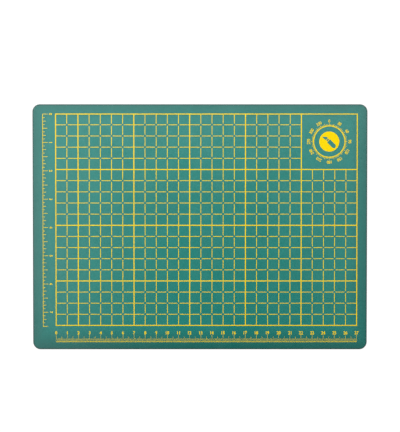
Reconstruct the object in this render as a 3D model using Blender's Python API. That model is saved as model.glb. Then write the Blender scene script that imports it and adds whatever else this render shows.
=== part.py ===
"""Self healing cutting mat, 300 x 220 x 3 mm: three bonded plies with a printed top.

The origin is the middle of the underside. +X runs along the long side, +Y along the
short side towards the top of the print, and +Z out of the printed face. All sizes are
in metres. Each print area is one connected film of ink lying on the top ply.
"""
import math

import bmesh
import bpy

# Mat
MAT_LENGTH = 0.300
MAT_WIDTH = 0.220
MAT_THICKNESS = 0.003
CORNER_RADIUS = 0.0068
CORNER_SEGMENTS = 10
RIM_ROUND = 0.0003
RIM_SEGMENTS = 2
PLY_COUNT = 3
BOND_GAP = 0.00002

# Ink film
INK_THICKNESS = 0.00004
INK_GAP = 0.00001

# Centimetre grid: its heavy lines are given as centimetres from its left and top lines
CENTIMETRE = 0.01
GRID_COLUMNS = 27
GRID_ROWS = 19
GRID_TO_RIGHT_EDGE = 0.0092
GRID_TO_TOP_EDGE = 0.0084
HEAVY_COLUMNS = (0, 2, 7, 12, 17, 22, 27)
HEAVY_ROWS = (0, 5, 10, 15, 19)
HEAVY_LINE = 0.00085
FRAME_LINE = 0.0008
TOP_LINE_INSET = 0.0004

# Centimetre scale, below the grid
MILLIMETRE = 0.001
CM_SCALE_TO_BOTTOM_EDGE = 0.0068
CM_BASE_LINE = 0.00036
CM_TICK_LINE = 0.00022
CM_TICK = 0.0065
HALF_CM_TICK = 0.0047
MM_TICK = 0.0030

# Inch scale, left of the grid
INCH = 0.0254
INCH_SCALE_TO_LEFT_EDGE = 0.0092
INCH_SCALE_TO_TOP_EDGE = 0.0088
INCH_SCALE_EIGHTHS = 60
INCH_SCALE_LINE = 0.0004
INCH_TICK = 0.0045
HALF_INCH_TICK = 0.0042
QUARTER_INCH_TICK = 0.0028
EIGHTH_INCH_TICK = 0.0018

# Angle dial, in the empty cell at the grid's top right corner
MARK_CELL = 0.05
DIAL_RADIUS = 0.0140
DIAL_RING = 0.0008
DIAL_TICKS = 72
DIAL_TICK_LINE = 0.0004
DIAL_TICK = 0.0011
DIAL_LONG_TICK = 0.0018
DIAL_TICKS_PER_LONG = 3

# Knife mark, inside the dial: a disc with a craft knife left open in it. The knife's
# parts are given along its own length, from the middle of the disc towards its tip.
DISC_RADIUS = 0.0090
DISC_STEPS = 72
KNIFE_ANGLE = math.radians(135)
HANDLE_START = -0.0076
HANDLE_END = 0.0009
HANDLE_HALF_WIDTH = 0.0019
HANDLE_ROUND_STEPS = 10
COLLAR_START = 0.0014
COLLAR_END = 0.0026
COLLAR_HALF_WIDTH = 0.0013
BLADE_START = 0.0031
BLADE_HEEL = 0.0042
BLADE_TIP = 0.0078
BLADE_HALF_WIDTH = 0.0016

# Colours are linear RGB
GREEN_PVC = (0.016, 0.185, 0.150)
CORE_PVC = (0.42, 0.45, 0.40)
YELLOW_INK = (0.96, 0.68, 0.010)

PLY_THICKNESS = (
    MAT_THICKNESS - INK_THICKNESS - INK_GAP - (PLY_COUNT - 1) * BOND_GAP
) / PLY_COUNT
INK_FLOOR = MAT_THICKNESS - INK_THICKNESS
GRID_RIGHT = MAT_LENGTH / 2 - GRID_TO_RIGHT_EDGE
GRID_LEFT = GRID_RIGHT - GRID_COLUMNS * CENTIMETRE
GRID_TOP = MAT_WIDTH / 2 - GRID_TO_TOP_EDGE
GRID_BOTTOM = GRID_TOP - GRID_ROWS * CENTIMETRE
MARK_CENTRE = (GRID_RIGHT - MARK_CELL / 2, GRID_TOP - MARK_CELL / 2)


def clear_scene():
    """Remove every object, so that the scene holds the mat alone."""
    for item in list(bpy.data.objects):
        bpy.data.objects.remove(item, do_unlink=True)


def principled(name, colour, roughness):
    """Return a material with one Principled shader."""
    material = bpy.data.materials.new(name)
    material.use_nodes = True
    shader = material.node_tree.nodes["Principled BSDF"]
    shader.inputs["Base Color"].default_value = (*colour, 1.0)
    shader.inputs["Roughness"].default_value = roughness
    shader.inputs["Metallic"].default_value = 0.0
    material.diffuse_color = (*colour, 1.0)
    return material


def place(name, data, material, location, turn=0.0):
    """Link an object to the mat's collection and its empty."""
    item = bpy.data.objects.new(name, data)
    item.location = location
    item.rotation_euler = (0.0, 0.0, turn)
    item.parent = origin
    data.materials.append(material)
    collection.objects.link(item)
    return item


def add_ply(name, layer, rounded_side, material):
    """Add one ply, counted from the underside. rounded_side is 1 for a softened
    upper rim, -1 for a softened lower rim and 0 for none."""
    shape = bmesh.new()
    bmesh.ops.create_cube(shape, size=1.0)
    bmesh.ops.scale(shape, vec=(MAT_LENGTH, MAT_WIDTH, PLY_THICKNESS), verts=shape.verts)
    uprights = [edge for edge in shape.edges if edge.verts[0].co.z * edge.verts[1].co.z < 0]
    bmesh.ops.bevel(
        shape,
        geom=uprights,
        offset=CORNER_RADIUS,
        segments=CORNER_SEGMENTS,
        profile=0.5,
        affect="EDGES",
    )
    if rounded_side:
        rim = [
            edge
            for edge in shape.edges
            if all(vert.co.z * rounded_side > 0 for vert in edge.verts)
        ]
        bmesh.ops.bevel(
            shape,
            geom=rim,
            offset=RIM_ROUND,
            segments=RIM_SEGMENTS,
            profile=0.5,
            affect="EDGES",
        )
    mesh = bpy.data.meshes.new(name)
    shape.to_mesh(mesh)
    shape.free()
    middle = layer * (PLY_THICKNESS + BOND_GAP) + PLY_THICKNESS / 2
    return place(name, mesh, material, (0.0, 0.0, middle))


def add_print(name, outlines, material, location, turn=0.0):
    """Add one film of ink. The first outline is its edge and the rest are holes."""
    curve = bpy.data.curves.new(name, "CURVE")
    curve.dimensions = "2D"
    curve.fill_mode = "BOTH"
    curve.extrude = INK_THICKNESS / 2
    for outline in outlines:
        spline = curve.splines.new("POLY")
        spline.points.add(len(outline) - 1)
        for point, (x, y) in zip(spline.points, outline):
            point.co = (x, y, 0.0, 1.0)
        spline.use_cyclic_u = True
    height = INK_FLOOR + INK_THICKNESS / 2
    return place(name, curve, material, (*location, height), turn)


def rectangle(left, right, bottom, top):
    """Return a rectangle's corners."""
    return [(left, bottom), (right, bottom), (right, top), (left, top)]


def arc(centre, radius, start, end, steps):
    """Return points along an arc, both ends included. Angles are in radians."""
    points = []
    for step in range(steps + 1):
        angle = start + (end - start) * step / steps
        x = centre[0] + radius * math.cos(angle)
        y = centre[1] + radius * math.sin(angle)
        points.append((x, y))
    return points


def circle(radius, steps):
    """Return points around a circle about the origin, the first one not repeated."""
    return arc((0.0, 0.0), radius, 0.0, 2 * math.pi, steps)[:-1]


def half_line(index, last):
    """Return half the width of a heavy grid line, which is finer on the frame."""
    return (FRAME_LINE if index in (0, last) else HEAVY_LINE) / 2


def grid_outlines():
    """Return the heavy grid's edge and the openings between its lines."""
    half = FRAME_LINE / 2
    width = GRID_COLUMNS * CENTIMETRE
    height = GRID_ROWS * CENTIMETRE
    outlines = [rectangle(-half, width + half, -height - half, half - TOP_LINE_INSET)]
    for left, right in zip(HEAVY_COLUMNS, HEAVY_COLUMNS[1:]):
        for upper, lower in zip(HEAVY_ROWS, HEAVY_ROWS[1:]):
            inset = TOP_LINE_INSET if upper == 0 else 0.0
            opening = rectangle(
                left * CENTIMETRE + half_line(left, GRID_COLUMNS),
                right * CENTIMETRE - half_line(right, GRID_COLUMNS),
                -lower * CENTIMETRE + half_line(lower, GRID_ROWS),
                -upper * CENTIMETRE - half_line(upper, GRID_ROWS) - inset,
            )
            outlines.append(opening)
    return outlines


def scale_outline(tick_lengths, pitch, tick_line, base_line):
    """Return a scale's outline: a base line along +X from 0 with ticks up from it.
    The first and last tick are flush with the ends of the base line."""
    half = tick_line / 2
    base = base_line / 2
    length = (len(tick_lengths) - 1) * pitch
    points = [(-half, -base), (length + half, -base)]
    for index in reversed(range(len(tick_lengths))):
        middle = index * pitch
        tip = tick_lengths[index]
        if index < len(tick_lengths) - 1:
            points.append((middle + half, base))
        points.append((middle + half, tip))
        points.append((middle - half, tip))
        if index > 0:
            points.append((middle - half, base))
    return points


def centimetre_ticks():
    """Return the length of each tick of the centimetre scale, one per millimetre."""
    lengths = []
    for millimetre in range(GRID_COLUMNS * 10 + 1):
        if millimetre % 10 == 0:
            lengths.append(CM_TICK)
        elif millimetre % 5 == 0:
            lengths.append(HALF_CM_TICK)
        else:
            lengths.append(MM_TICK)
    return lengths


def inch_ticks():
    """Return the length of each tick of the inch scale, one per eighth."""
    lengths = []
    for eighth in range(INCH_SCALE_EIGHTHS + 1):
        if eighth % 8 == 0:
            lengths.append(INCH_TICK)
        elif eighth % 4 == 0:
            lengths.append(HALF_INCH_TICK)
        elif eighth % 2 == 0:
            lengths.append(QUARTER_INCH_TICK)
        else:
            lengths.append(EIGHTH_INCH_TICK)
    return lengths


def dial_outlines():
    """Return the dial's outer edge, a ring with ticks pointing out, and its opening."""
    half = DIAL_TICK_LINE / 2
    outer = DIAL_RADIUS + DIAL_RING / 2
    edge = []
    for index in range(DIAL_TICKS):
        angle = 2 * math.pi * index / DIAL_TICKS
        long_tick = index % DIAL_TICKS_PER_LONG == 0
        tip = outer + (DIAL_LONG_TICK if long_tick else DIAL_TICK)
        for radius, side in ((outer, -half), (tip, -half), (tip, half), (outer, half)):
            x = radius * math.cos(angle) - side * math.sin(angle)
            y = radius * math.sin(angle) + side * math.cos(angle)
            edge.append((x, y))
    return [edge, circle(DIAL_RADIUS - DIAL_RING / 2, DIAL_TICKS)]


def knife_outlines():
    """Return the disc's edge and the openings that make up the knife, tip at +X."""
    tail = (HANDLE_START + HANDLE_HALF_WIDTH, 0.0)
    handle = arc(tail, HANDLE_HALF_WIDTH, math.pi / 2, math.pi * 1.5, HANDLE_ROUND_STEPS)
    handle += [(HANDLE_END, -HANDLE_HALF_WIDTH), (HANDLE_END, HANDLE_HALF_WIDTH)]
    collar = rectangle(COLLAR_START, COLLAR_END, -COLLAR_HALF_WIDTH, COLLAR_HALF_WIDTH)
    blade = [
        (BLADE_START, -COLLAR_HALF_WIDTH),
        (BLADE_HEEL, -BLADE_HALF_WIDTH),
        (BLADE_TIP, BLADE_HALF_WIDTH),
        (BLADE_START, COLLAR_HALF_WIDTH),
    ]
    return [circle(DISC_RADIUS, DISC_STEPS), handle, collar, blade]


clear_scene()
collection = bpy.data.collections.new("self_healing_mat")
bpy.context.scene.collection.children.link(collection)
origin = bpy.data.objects.new("mat_origin", None)
collection.objects.link(origin)

soft_pvc = principled("soft_green_pvc", GREEN_PVC, 0.55)
core_pvc = principled("pale_core_pvc", CORE_PVC, 0.60)
ink = principled("yellow_ink", YELLOW_INK, 0.45)

add_ply("bottom_ply", 0, -1, soft_pvc)
add_ply("core_ply", 1, 0, core_pvc)
add_ply("top_ply", 2, 1, soft_pvc)

add_print("printed_heavy_grid", grid_outlines(), ink, (GRID_LEFT, GRID_TOP))
add_print(
    "printed_centimetre_scale",
    [scale_outline(centimetre_ticks(), MILLIMETRE, CM_TICK_LINE, CM_BASE_LINE)],
    ink,
    (GRID_LEFT, -MAT_WIDTH / 2 + CM_SCALE_TO_BOTTOM_EDGE),
)
add_print(
    "printed_inch_scale",
    [scale_outline(inch_ticks(), INCH / 8, INCH_SCALE_LINE, INCH_SCALE_LINE)],
    ink,
    (-MAT_LENGTH / 2 + INCH_SCALE_TO_LEFT_EDGE, MAT_WIDTH / 2 - INCH_SCALE_TO_TOP_EDGE),
    -math.pi / 2,
)
add_print("printed_angle_dial", dial_outlines(), ink, MARK_CENTRE)
add_print("printed_knife_mark", knife_outlines(), ink, MARK_CENTRE, KNIFE_ANGLE)
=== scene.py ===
import math

import bmesh
import bpy
from mathutils import Matrix, Vector


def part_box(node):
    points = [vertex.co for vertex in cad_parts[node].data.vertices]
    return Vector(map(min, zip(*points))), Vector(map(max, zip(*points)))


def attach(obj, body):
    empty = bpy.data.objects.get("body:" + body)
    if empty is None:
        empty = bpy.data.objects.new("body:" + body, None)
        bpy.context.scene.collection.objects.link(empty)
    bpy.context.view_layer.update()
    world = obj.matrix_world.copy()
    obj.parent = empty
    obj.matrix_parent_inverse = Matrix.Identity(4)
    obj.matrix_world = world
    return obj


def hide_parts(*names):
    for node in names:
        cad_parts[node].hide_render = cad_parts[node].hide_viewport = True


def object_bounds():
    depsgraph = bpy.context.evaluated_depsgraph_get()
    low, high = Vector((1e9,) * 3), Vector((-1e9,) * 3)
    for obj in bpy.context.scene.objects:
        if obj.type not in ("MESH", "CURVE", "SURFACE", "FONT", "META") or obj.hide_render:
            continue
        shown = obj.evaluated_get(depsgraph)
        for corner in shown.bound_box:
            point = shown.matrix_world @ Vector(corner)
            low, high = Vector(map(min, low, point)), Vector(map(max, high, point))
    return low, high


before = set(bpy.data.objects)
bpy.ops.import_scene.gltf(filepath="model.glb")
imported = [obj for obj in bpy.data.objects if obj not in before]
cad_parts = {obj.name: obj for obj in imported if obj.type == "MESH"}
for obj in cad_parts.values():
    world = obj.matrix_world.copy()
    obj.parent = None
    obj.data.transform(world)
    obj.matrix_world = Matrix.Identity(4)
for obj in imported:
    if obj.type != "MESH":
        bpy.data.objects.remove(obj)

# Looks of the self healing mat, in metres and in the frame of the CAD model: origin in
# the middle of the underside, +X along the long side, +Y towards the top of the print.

MILLIMETRE = 0.001
CENTIMETRE = 0.01
INCH = 0.0254

CAD_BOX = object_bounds()

# Places taken from the frame
MAT_HIGH = CAD_BOX[1]
HALF_LENGTH = MAT_HIGH.x
HALF_WIDTH = MAT_HIGH.y
FACE_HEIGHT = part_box("top_ply")[1].z
GRID_LOW, GRID_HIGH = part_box("printed_heavy_grid")
CM_SCALE_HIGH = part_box("printed_centimetre_scale")[1]
INCH_SCALE_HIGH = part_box("printed_inch_scale")[1]
DIAL_LOW, DIAL_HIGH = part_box("printed_angle_dial")
INK_FLOOR = GRID_LOW.z
INK_TOP = GRID_HIGH.z

# Outline of the plies, with the corner radius of the CAD
CORNER_RADIUS = 0.0068
CORNER_STEPS = 24

# Cut sides of the plies: the radius of each softened rim, and how far the rims stand
# back behind the middle of the side
RIM_STEPS = 4
SIDE_SHARES = (0.2, 0.4, 0.6, 0.8)
TOP_RIM_ROUND = 0.00018
BOTTOM_RIM_ROUND = 0.0003
INNER_RIM_ROUND = 0.00005
CORE_RIM_ROUND = 0.00004
PVC_BULGE = 0.00006
CORE_BULGE = 0.00002

# Print layout of the CAD: line widths, how far its top frame line is moved in, and
# the cells and heavy lines of its grid
FRAME_LINE = 0.0008
HEAVY_LINE = 0.00085
TOP_LINE_INSET = 0.0004
INCH_SCALE_LINE = 0.0004
GRID_COLUMNS = 27
GRID_ROWS = 19
HEAVY_COLUMNS = (0, 2, 7, 12, 17, 22, 27)
HEAVY_ROWS = (0, 5, 10, 15, 19)
EMBLEM_FIRST_COLUMN = 22
EMBLEM_LAST_ROW = 5
GRID_LEFT = GRID_LOW.x + FRAME_LINE / 2
GRID_TOP = GRID_HIGH.y + TOP_LINE_INSET - FRAME_LINE / 2
INCH_ZERO = INCH_SCALE_HIGH.y - INCH_SCALE_LINE / 2

# Fine grid, which the CAD leaves to this script
FINE_LINE = 0.00054
CROSSING_GAP = 0.00205
DASH_CORNER = 0.00008

# Numerals: a width is a share of the font's own, and a bold is a share of its size
CM_NUMERAL_HEIGHT = 0.0030
CM_NUMERAL_GAP = 0.0001
INCH_NUMERAL_HEIGHT = 0.0027
INCH_NUMERAL_GAP = 0.0013
INCH_NUMERALS = 8
SCALE_NUMERAL_WIDTH = 0.95
SCALE_NUMERAL_BOLD = 0.03
DIAL_NUMERAL_HEIGHT = 0.0028
DIAL_NUMERAL_GAP = 0.0008
DIAL_NUMERAL_WIDTH = 0.9
DIAL_NUMERAL_BOLD = 0.02
DIAL_STEP = 30
NUMERAL_SPACING = 0.95
NUMERAL_CURVE_STEPS = 3
NUMERAL_RAW_DEPTH = 0.5
WELD_DISTANCE = 1e-7


def rounded_rectangle(inset):
    """Points of the mat's outline, counter-clockwise from the right side's upper end,
    moved inwards by inset."""
    radius = CORNER_RADIUS - inset
    points = []
    for quarter, (side_x, side_y) in enumerate(((1, 1), (-1, 1), (-1, -1), (1, -1))):
        centre_x = side_x * (HALF_LENGTH - CORNER_RADIUS)
        centre_y = side_y * (HALF_WIDTH - CORNER_RADIUS)
        for step in range(CORNER_STEPS + 1):
            angle = math.pi / 2 * (quarter + step / CORNER_STEPS)
            x = centre_x + radius * math.cos(angle)
            y = centre_y + radius * math.sin(angle)
            points.append((x, y))
    return points


def skin(shape, rings, smooth):
    """Close a stack of rings into a body, with a cap at each end."""
    for lower, upper in zip(rings, rings[1:]):
        for index in range(len(lower)):
            following = (index + 1) % len(lower)
            corners = (lower[index], lower[following], upper[following], upper[index])
            shape.faces.new(corners).smooth = smooth
    shape.faces.new(reversed(rings[0]))
    shape.faces.new(rings[-1])


def finish_piece(name, shape, material):
    """Turn a bmesh into a piece that rides on the mat."""
    mesh = bpy.data.meshes.new(name)
    shape.to_mesh(mesh)
    shape.free()
    mesh.materials.append(material)
    piece = bpy.data.objects.new(name, mesh)
    bpy.context.scene.collection.objects.link(piece)
    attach(piece, "root")
    return piece


# --------------------------------------------------------------------- materials

# Sockets of the Mix node that hold colours
MIX_FIRST = 6
MIX_SECOND = 7
MIX_RESULT = 2

# Stretches of a noise's values, from nearly all of them down to the busiest part
WIDE = (0.2, 0.8)
MIDDLE = (0.25, 0.75)
NARROW = (0.3, 0.7)


class Shader:
    """A material's node tree, with short ways to add the nodes used here."""

    def __init__(self, name):
        self.material = bpy.data.materials.new(name)
        self.material.use_nodes = True
        self.tree = self.material.node_tree
        self.principled = self.tree.nodes["Principled BSDF"]
        self.place = self.node("ShaderNodeTexCoord").outputs["Object"]

    def node(self, kind, **settings):
        made = self.tree.nodes.new(kind)
        for key, value in settings.items():
            setattr(made, key, value)
        return made

    def feed(self, socket, value):
        """Link a socket, or set it when value is a number or colour."""
        if isinstance(value, bpy.types.NodeSocket):
            self.tree.links.new(value, socket)
        else:
            socket.default_value = value

    def math(self, operation, first, second=0.0):
        made = self.node("ShaderNodeMath", operation=operation)
        self.feed(made.inputs[0], first)
        self.feed(made.inputs[1], second)
        return made.outputs[0]

    def ramp(self, value, span, result=(0.0, 1.0), kind="SMOOTHSTEP"):
        """Map value from the span to the result, held at both ends."""
        made = self.node("ShaderNodeMapRange", interpolation_type=kind, clamp=True)
        for socket, number in zip(made.inputs, (value, *span, *result)):
            self.feed(socket, number)
        return made.outputs["Result"]

    def noise(self, pitch, detail=2.0, roughness=0.5, stretch=(1.0, 1.0, 1.0)):
        """Noise in 0..1 whose features are about pitch metres across."""
        mapping = self.node("ShaderNodeMapping")
        self.feed(mapping.inputs["Vector"], self.place)
        mapping.inputs["Scale"].default_value = [factor / pitch for factor in stretch]
        made = self.node("ShaderNodeTexNoise")
        self.feed(made.inputs["Vector"], mapping.outputs["Vector"])
        made.inputs["Scale"].default_value = 1.0
        made.inputs["Detail"].default_value = detail
        made.inputs["Roughness"].default_value = roughness
        return made.outputs["Fac"]

    def mix(self, share, first, second):
        """Mix two colours."""
        made = self.node("ShaderNodeMix", data_type="RGBA")
        self.feed(made.inputs[0], share)
        self.feed(made.inputs[MIX_FIRST], first)
        self.feed(made.inputs[MIX_SECOND], second)
        return made.outputs[MIX_RESULT]

    def scale(self, colour, factor):
        """Multiply a colour by a number."""
        made = self.node("ShaderNodeVectorMath", operation="SCALE")
        self.feed(made.inputs[0], colour)
        self.feed(made.inputs["Scale"], factor)
        return made.outputs[0]

    def bump(self, height, distance, normal=None):
        """Raise the surface by height times distance metres."""
        made = self.node("ShaderNodeBump")
        made.inputs["Strength"].default_value = 1.0
        made.inputs["Distance"].default_value = distance
        self.feed(made.inputs["Height"], height)
        if normal is not None:
            self.feed(made.inputs["Normal"], normal)
        return made.outputs["Normal"]


# Green PVC: two tones in faint clouds, a fine mottling, an uneven gloss, and a pebble
# on long low waves
GREEN = (0.0020, 0.1310, 0.1095, 1.0)
GREEN_DEEP = (0.0015, 0.1225, 0.1025, 1.0)
CLOUD_PITCH = 0.035
MOTTLE_PITCH = 0.0013
MOTTLE_TONE = (0.92, 1.08)
PVC_GLOSS_PITCH = 0.012
PVC_ROUGHNESS = (0.31, 0.37)
WAVE_PITCH = 0.060
WAVE_HEIGHT = 0.00010
PEBBLE_PITCH = 0.0005
PEBBLE_HEIGHT = 0.000022

# Painted shade: how much darker the green is painted at each side of the printed face, and how far in
# that reaches
LEFT_SHADE, LEFT_REACH = 0.64, 0.015
RIGHT_SHADE, RIGHT_REACH = 0.64, 0.016
TOP_SHADE, TOP_REACH = 0.68, 0.014
BOTTOM_SHADE, BOTTOM_REACH = 0.54, 0.019
# Painted shade: a dark line along the rounded rim of the printed face, and how far in it reaches
RIM_SHADE, RIM_REACH = 0.25, 0.0016

# Pale core, with marks of the cut that run down its side
CORE = (0.25, 0.28, 0.245, 1.0)
CORE_DULL = (0.20, 0.23, 0.20, 1.0)
CORE_CLOUD_PITCH = 0.002
CORE_GLOSS_PITCH = 0.001
CORE_ROUGHNESS = (0.55, 0.68)
SHEAR_PITCH = 0.0004
SHEAR_STRETCH = (1.0, 1.0, 0.15)
SHEAR_HEIGHT = 0.00003

# Yellow ink
INK = (0.600, 0.440, 0.001, 1.0)
INK_THIN = (0.571, 0.417, 0.001, 1.0)
INK_COVER_PITCH = 0.0009
INK_GLOSS_PITCH = 0.0015
INK_ROUGHNESS = (0.50, 0.62)
INK_SPECULAR = 0.04
INK_SKIN_PITCH = 0.0003
INK_SKIN_HEIGHT = 0.000006


def to_outline(shader, x, y):
    """Distance from a point of the face to the mat's rounded outline, as a socket."""
    over_x = shader.math("SUBTRACT", shader.math("ABSOLUTE", x), HALF_LENGTH - CORNER_RADIUS)
    over_y = shader.math("SUBTRACT", shader.math("ABSOLUTE", y), HALF_WIDTH - CORNER_RADIUS)
    past_x = shader.math("MAXIMUM", over_x, 0.0)
    past_y = shader.math("MAXIMUM", over_y, 0.0)
    square_x = shader.math("MULTIPLY", past_x, past_x)
    square_y = shader.math("MULTIPLY", past_y, past_y)
    past_both = shader.math("SQRT", shader.math("ADD", square_x, square_y))
    inner = shader.math("MINIMUM", shader.math("MAXIMUM", over_x, over_y), 0.0)
    return shader.math("SUBTRACT", CORNER_RADIUS, shader.math("ADD", past_both, inner))


def margin_tone(shader):
    """Share of the green's brightness that is left under painted shade near the edge of the printed face:
    a darker band along each side and a dark line along the rim. The cut side below that face gets no
    painted shade."""
    split = shader.node("ShaderNodeSeparateXYZ")
    shader.feed(split.inputs[0], shader.place)
    x, y, z = split.outputs
    tone = 1.0
    # Painted shade along each side: darkest at the edge, fading out over its reach
    for distance, edge_shade, reach in (
        (shader.math("ADD", x, HALF_LENGTH), LEFT_SHADE, LEFT_REACH),
        (shader.math("SUBTRACT", HALF_LENGTH, x), RIGHT_SHADE, RIGHT_REACH),
        (shader.math("ADD", y, HALF_WIDTH), BOTTOM_SHADE, BOTTOM_REACH),
        (shader.math("SUBTRACT", HALF_WIDTH, y), TOP_SHADE, TOP_REACH),
    ):
        side_shade = shader.ramp(distance, (0.0, reach), (edge_shade, 1.0), "LINEAR")
        tone = shader.math("MINIMUM", tone, side_shade)
    # Painted shade: a dark line along the rim of the printed face
    rim = shader.ramp(to_outline(shader, x, y), (0.0, RIM_REACH), (RIM_SHADE, 1.0))
    lost = shader.math("SUBTRACT", 1.0, shader.math("MULTIPLY", tone, rim))
    on_face = shader.ramp(z, (FACE_HEIGHT - TOP_RIM_ROUND, FACE_HEIGHT))
    return shader.math("SUBTRACT", 1.0, shader.math("MULTIPLY", lost, on_face))


def soft_pvc(name, printed):
    """Green plasticised PVC. With printed set, painted shade darkens the printed face
    towards its edge."""
    shader = Shader(name)
    surface = shader.principled.inputs
    cloud = shader.ramp(shader.noise(CLOUD_PITCH, detail=3.0), NARROW)
    colour = shader.mix(cloud, GREEN, GREEN_DEEP)
    mottle = shader.noise(MOTTLE_PITCH, detail=3.0, roughness=0.6)
    tone = shader.ramp(mottle, MIDDLE, MOTTLE_TONE)
    # Painted shade: the printed face is painted darker towards its edge
    if printed:
        tone = shader.math("MULTIPLY", tone, margin_tone(shader))
    shader.feed(surface["Base Color"], shader.scale(colour, tone))
    gloss = shader.noise(PVC_GLOSS_PITCH, detail=3.0)
    shader.feed(surface["Roughness"], shader.ramp(gloss, MIDDLE, PVC_ROUGHNESS))
    wave = shader.bump(shader.noise(WAVE_PITCH, detail=1.0), WAVE_HEIGHT)
    pebble = shader.noise(PEBBLE_PITCH, roughness=0.6)
    shader.feed(surface["Normal"], shader.bump(pebble, PEBBLE_HEIGHT, wave))
    return shader.material


def core_pvc(name):
    """Pale stiff PVC, seen only as a line along the cut side."""
    shader = Shader(name)
    surface = shader.principled.inputs
    cloud = shader.noise(CORE_CLOUD_PITCH, detail=3.0)
    shader.feed(surface["Base Color"], shader.mix(cloud, CORE, CORE_DULL))
    gloss = shader.noise(CORE_GLOSS_PITCH)
    shader.feed(surface["Roughness"], shader.ramp(gloss, WIDE, CORE_ROUGHNESS))
    shear = shader.noise(SHEAR_PITCH, stretch=SHEAR_STRETCH)
    shader.feed(surface["Normal"], shader.bump(shear, SHEAR_HEIGHT))
    return shader.material


def yellow_ink(name):
    """Screen printed ink with a slightly uneven cover and a satin skin."""
    shader = Shader(name)
    surface = shader.principled.inputs
    cover = shader.ramp(shader.noise(INK_COVER_PITCH, detail=3.0), NARROW)
    shader.feed(surface["Base Color"], shader.mix(cover, INK, INK_THIN))
    gloss = shader.noise(INK_GLOSS_PITCH)
    shader.feed(surface["Roughness"], shader.ramp(gloss, WIDE, INK_ROUGHNESS))
    surface["Specular IOR Level"].default_value = INK_SPECULAR
    shader.feed(surface["Normal"], shader.bump(shader.noise(INK_SKIN_PITCH), INK_SKIN_HEIGHT))
    return shader.material


# --------------------------------------------------------------------- plies


def cut_profile(low, high, round_low, round_high, bulge):
    """Profile of a die-cut ply between two heights, as a list of (inset, height) from
    its lower face to its upper face. Each rim is softened by its own radius, and the
    middle of the side stands at the outline while the rims stand back by bulge."""
    quarter_turn = [math.pi / 2 * step / RIM_STEPS for step in range(RIM_STEPS + 1)]
    points = []
    for angle in quarter_turn:
        inset = bulge + round_low * (1 - math.sin(angle))
        points.append((inset, low + round_low * (1 - math.cos(angle))))
    side_low = low + round_low
    side_high = high - round_high
    for share in SIDE_SHARES:
        inset = bulge * (1 - math.sin(math.pi * share))
        points.append((inset, side_low + (side_high - side_low) * share))
    for angle in quarter_turn:
        inset = bulge + round_high * (1 - math.cos(angle))
        points.append((inset, high - round_high * (1 - math.sin(angle))))
    return points


def add_ply(name, node, round_low, round_high, bulge, material):
    """Add a ply that stands for a CAD ply, with softened rims."""
    low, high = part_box(node)
    shape = bmesh.new()
    rings = []
    for inset, height in cut_profile(low.z, high.z, round_low, round_high, bulge):
        rings.append([shape.verts.new((x, y, height)) for x, y in rounded_rectangle(inset)])
    skin(shape, rings, True)
    piece = finish_piece(name, shape, material)
    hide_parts(node)


# --------------------------------------------------------------------- print


def dash(shape, low_x, high_x, low_y, high_y):
    """Add one dash of ink with clipped corners."""
    outline = [
        (low_x + DASH_CORNER, low_y),
        (high_x - DASH_CORNER, low_y),
        (high_x, low_y + DASH_CORNER),
        (high_x, high_y - DASH_CORNER),
        (high_x - DASH_CORNER, high_y),
        (low_x + DASH_CORNER, high_y),
        (low_x, high_y - DASH_CORNER),
        (low_x, low_y + DASH_CORNER),
    ]
    lower = [shape.verts.new((x, y, INK_FLOOR)) for x, y in outline]
    upper = [shape.verts.new((x, y, INK_TOP)) for x, y in outline]
    skin(shape, [lower, upper], False)


def dash_spans(last, heavy, first_inset):
    """Cell, start and end of each dash of a fine line, as distances along it. A dash
    stops short of a fine line that crosses it and runs up to a heavy one. The first
    heavy line is inset from its nominal place by first_inset."""
    spans = []
    for cell in range(last):
        ends = []
        for crossing, side in ((cell, 1), (cell + 1, -1)):
            if crossing in heavy:
                clear = (FRAME_LINE if crossing in (0, last) else HEAVY_LINE) / 2
                clear -= DASH_CORNER
            else:
                clear = CROSSING_GAP / 2
            if crossing == 0:
                clear += first_inset
            ends.append(crossing * CENTIMETRE + side * clear)
        spans.append((cell, *ends))
    return spans


def add_fine_grid(material):
    """Add the fine centimetre lines, in dashes, outside the empty corner cell."""
    shape = bmesh.new()
    half = FINE_LINE / 2
    for column in range(GRID_COLUMNS):
        if column in HEAVY_COLUMNS:
            continue
        x = GRID_LEFT + column * CENTIMETRE
        for row, start, end in dash_spans(GRID_ROWS, HEAVY_ROWS, TOP_LINE_INSET):
            if column > EMBLEM_FIRST_COLUMN and row < EMBLEM_LAST_ROW:
                continue
            dash(shape, x - half, x + half, GRID_TOP - end, GRID_TOP - start)
    for row in range(GRID_ROWS):
        if row in HEAVY_ROWS:
            continue
        y = GRID_TOP - row * CENTIMETRE
        for column, start, end in dash_spans(GRID_COLUMNS, HEAVY_COLUMNS, 0.0):
            if column >= EMBLEM_FIRST_COLUMN and row < EMBLEM_LAST_ROW:
                continue
            dash(shape, GRID_LEFT + start, GRID_LEFT + end, y - half, y + half)
    finish_piece("fine_grid", shape, material)


def numeral_mesh(text, bold):
    """Mesh of a numeral in the font's own size, deeper than it will be."""
    curve = bpy.data.curves.new("numeral", "FONT")
    curve.body = text
    curve.offset = bold
    curve.space_character = NUMERAL_SPACING
    curve.resolution_u = NUMERAL_CURVE_STEPS
    curve.extrude = NUMERAL_RAW_DEPTH
    source = bpy.data.objects.new("numeral", curve)
    bpy.context.scene.collection.objects.link(source)
    bpy.context.view_layer.update()
    graph = bpy.context.evaluated_depsgraph_get()
    mesh = bpy.data.meshes.new_from_object(source.evaluated_get(graph))
    bpy.data.objects.remove(source)
    return mesh


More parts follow.
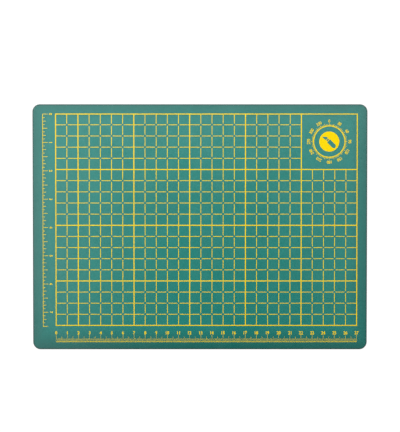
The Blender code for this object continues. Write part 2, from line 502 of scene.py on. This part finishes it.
def add_numeral(shape, text, height, width, bold, middle, turn):
    """Add a numeral to shape: width is a share of the font's own, and turn is its
    rotation about its middle."""
    mesh = numeral_mesh(text, bold)
    low = Vector([min(v.co[axis] for v in mesh.vertices) for axis in range(3)])
    high = Vector([max(v.co[axis] for v in mesh.vertices) for axis in range(3)])
    size = height / (high.y - low.y)
    depth = (INK_TOP - INK_FLOOR) / (high.z - low.z)
    mesh.transform(Matrix.Translation(-(low + high) / 2))
    mesh.transform(Matrix.Diagonal((size * width, size, depth, 1.0)))
    mesh.transform(Matrix.Rotation(turn, 4, "Z"))
    place = Vector((middle[0], middle[1], (INK_FLOOR + INK_TOP) / 2))
    mesh.transform(Matrix.Translation(place))
    shape.from_mesh(mesh)
    bpy.data.meshes.remove(mesh)


def add_numerals(name, labels, height, width, bold, material):
    """Add one piece of numerals from labels, a (text, middle, turn) for each."""
    shape = bmesh.new()
    for text, middle, turn in labels:
        add_numeral(shape, text, height, width, bold, middle, turn)
    bmesh.ops.remove_doubles(shape, verts=shape.verts, dist=WELD_DISTANCE)
    finish_piece(name, shape, material)


def centimetre_labels():
    """Labels above the centimetre scale."""
    y = CM_SCALE_HIGH.y + CM_NUMERAL_GAP + CM_NUMERAL_HEIGHT / 2
    labels = []
    for centimetre in range(GRID_COLUMNS + 1):
        x = GRID_LEFT + centimetre * CENTIMETRE
        labels.append((str(centimetre), (x, y), 0.0))
    return labels


def inch_labels():
    """Labels right of the inch scale, which are read from the mat's left side."""
    x = INCH_SCALE_HIGH.x + INCH_NUMERAL_GAP + INCH_NUMERAL_HEIGHT / 2
    labels = []
    for inch in range(INCH_NUMERALS):
        y = INCH_ZERO - inch * INCH
        labels.append((str(inch), (x, y), -math.pi / 2))
    return labels


def dial_labels():
    """Angles around the dial, clockwise from its top, upright towards its outside."""
    middle = (DIAL_LOW + DIAL_HIGH) / 2
    radius = (DIAL_HIGH.x - DIAL_LOW.x) / 2 + DIAL_NUMERAL_GAP + DIAL_NUMERAL_HEIGHT / 2
    labels = []
    for degrees in range(0, 360, DIAL_STEP):
        angle = math.radians(90 - degrees)
        place = (middle.x + radius * math.cos(angle), middle.y + radius * math.sin(angle))
        labels.append((str(degrees), place, angle - math.pi / 2))
    return labels


# --------------------------------------------------------------------- studio

FLOOR_SIZE = 60.0
FLOOR_DROP = 0.00005
FLOOR_GLOW = 0.985
FLOOR_TONE = 0.05
FLOOR_ROUGHNESS = 0.9

# Brightness of the walls, and the heights of the view direction between which they
# give way to the dark ceiling
WALL_STRENGTH = 0.95
WALL_BRIGHT_BELOW = 0.10
CEILING_DARK_ABOVE = 0.55

# The camera's frame is VIEW_HEIGHT tall at the mat
CAMERA_DISTANCE = 0.90
CAMERA_TILT = math.radians(1.25)
VIEW_HEIGHT = 0.3874
AIM_X = 0.00005
AIM_Y = 0.00994
SENSOR = 0.036


def add_floor():
    """Add the plain white floor: the top of a light table, which takes no shadows."""
    bpy.ops.mesh.primitive_plane_add(size=FLOOR_SIZE, location=(0.0, 0.0, -FLOOR_DROP))
    floor = bpy.context.object
    floor.name = "floor"
    shader = Shader("white_floor")
    surface = shader.principled.inputs
    surface["Base Color"].default_value = (FLOOR_TONE, FLOOR_TONE, FLOOR_TONE, 1.0)
    surface["Roughness"].default_value = FLOOR_ROUGHNESS
    surface["Specular IOR Level"].default_value = 0.0
    surface["Emission Color"].default_value = (1.0, 1.0, 1.0, 1.0)
    surface["Emission Strength"].default_value = FLOOR_GLOW
    floor.data.materials.append(shader.material)


def add_softbox(name, size, distance, from_above, azimuth, power, highlight=True):
    """Add a square soft light that faces the mat. from_above is its angle from the
    vertical, and azimuth is counted from +X towards +Y, both in degrees. Without
    highlight it lights the mat and doesn't show as a reflection in it."""
    light = bpy.data.lights.new(name, "AREA")
    light.shape = "SQUARE"
    light.size = size
    light.energy = power
    lamp = bpy.data.objects.new(name, light)
    tilt = math.radians(from_above)
    turn = math.radians(azimuth)
    level = math.sin(tilt)
    towards = Vector((level * math.cos(turn), level * math.sin(turn), math.cos(tilt)))
    lamp.location = towards * distance
    lamp.rotation_euler = (-towards).to_track_quat("-Z", "Y").to_euler()
    lamp.visible_glossy = highlight
    bpy.context.scene.collection.objects.link(lamp)


def add_world():
    """A studio with pale walls and a dark ceiling."""
    world = bpy.data.worlds.new("studio")
    world.use_nodes = True
    bpy.context.scene.world = world
    tree = world.node_tree
    background = tree.nodes["Background"]
    background.inputs["Color"].default_value = (1.0, 1.0, 1.0, 1.0)
    direction = tree.nodes.new("ShaderNodeTexCoord")
    split = tree.nodes.new("ShaderNodeSeparateXYZ")
    height = tree.nodes.new("ShaderNodeMapRange")
    height.interpolation_type = "SMOOTHSTEP"
    height.inputs["From Min"].default_value = WALL_BRIGHT_BELOW
    height.inputs["From Max"].default_value = CEILING_DARK_ABOVE
    height.inputs["To Min"].default_value = WALL_STRENGTH
    height.inputs["To Max"].default_value = 0.0
    tree.links.new(direction.outputs["Generated"], split.inputs[0])
    tree.links.new(split.outputs["Z"], height.inputs["Value"])
    tree.links.new(height.outputs["Result"], background.inputs["Strength"])


def add_camera():
    """A camera straight above the mat, a touch nearer its top edge."""
    camera = bpy.data.cameras.new("camera")
    camera.sensor_fit = "AUTO"
    camera.sensor_width = SENSOR / MILLIMETRE
    camera.lens = SENSOR / MILLIMETRE * CAMERA_DISTANCE / VIEW_HEIGHT
    item = bpy.data.objects.new("camera", camera)
    back = Vector((0.0, math.sin(CAMERA_TILT), math.cos(CAMERA_TILT)))
    item.location = Vector((AIM_X, AIM_Y, MAT_HIGH.z)) + back * CAMERA_DISTANCE
    item.rotation_euler = (-CAMERA_TILT, 0.0, 0.0)
    bpy.context.scene.collection.objects.link(item)
    bpy.context.scene.camera = item


# --------------------------------------------------------------------- the mat

# The printed face's material carries painted shade towards its edge
shaded_printed_pvc = soft_pvc("printed_green_pvc_painted_shade", True)
plain_pvc = soft_pvc("plain_green_pvc", False)
pale_pvc = core_pvc("pale_core_pvc")
ink = yellow_ink("yellow_ink")

add_ply(
    "green_top_ply", "top_ply", INNER_RIM_ROUND, TOP_RIM_ROUND, PVC_BULGE, shaded_printed_pvc
)
add_ply(
    "pale_core_ply", "core_ply", CORE_RIM_ROUND, CORE_RIM_ROUND, CORE_BULGE, pale_pvc
)
add_ply(
    "green_bottom_ply", "bottom_ply", BOTTOM_RIM_ROUND, INNER_RIM_ROUND, PVC_BULGE, plain_pvc
)

for node in (
    "printed_heavy_grid",
    "printed_centimetre_scale",
    "printed_inch_scale",
    "printed_angle_dial",
    "printed_knife_mark",
):
    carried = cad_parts[node]
    carried.data.materials.clear()
    carried.data.materials.append(ink)

add_fine_grid(ink)
for name, labels, height in (
    ("centimetre_numerals", centimetre_labels(), CM_NUMERAL_HEIGHT),
    ("inch_numerals", inch_labels(), INCH_NUMERAL_HEIGHT),
):
    add_numerals(name, labels, height, SCALE_NUMERAL_WIDTH, SCALE_NUMERAL_BOLD, ink)
add_numerals(
    "dial_numerals", dial_labels(), DIAL_NUMERAL_HEIGHT, DIAL_NUMERAL_WIDTH, DIAL_NUMERAL_BOLD, ink
)

bpy.context.scene.view_settings.view_transform = "Standard"
add_floor()
add_world()
add_softbox("softbox_top", size=0.90, distance=1.2, from_above=37.0, azimuth=90.0, power=17.6)
add_softbox(
    "softbox_corner", size=0.80, distance=1.4, from_above=68.0, azimuth=135.0, power=24.6, highlight=False
)
add_softbox("softbox_left", size=0.50, distance=1.2, from_above=26.0, azimuth=186.0, power=3.2)
add_softbox("softbox_right", size=0.50, distance=1.2, from_above=26.0, azimuth=0.0, power=1.5)
add_camera()
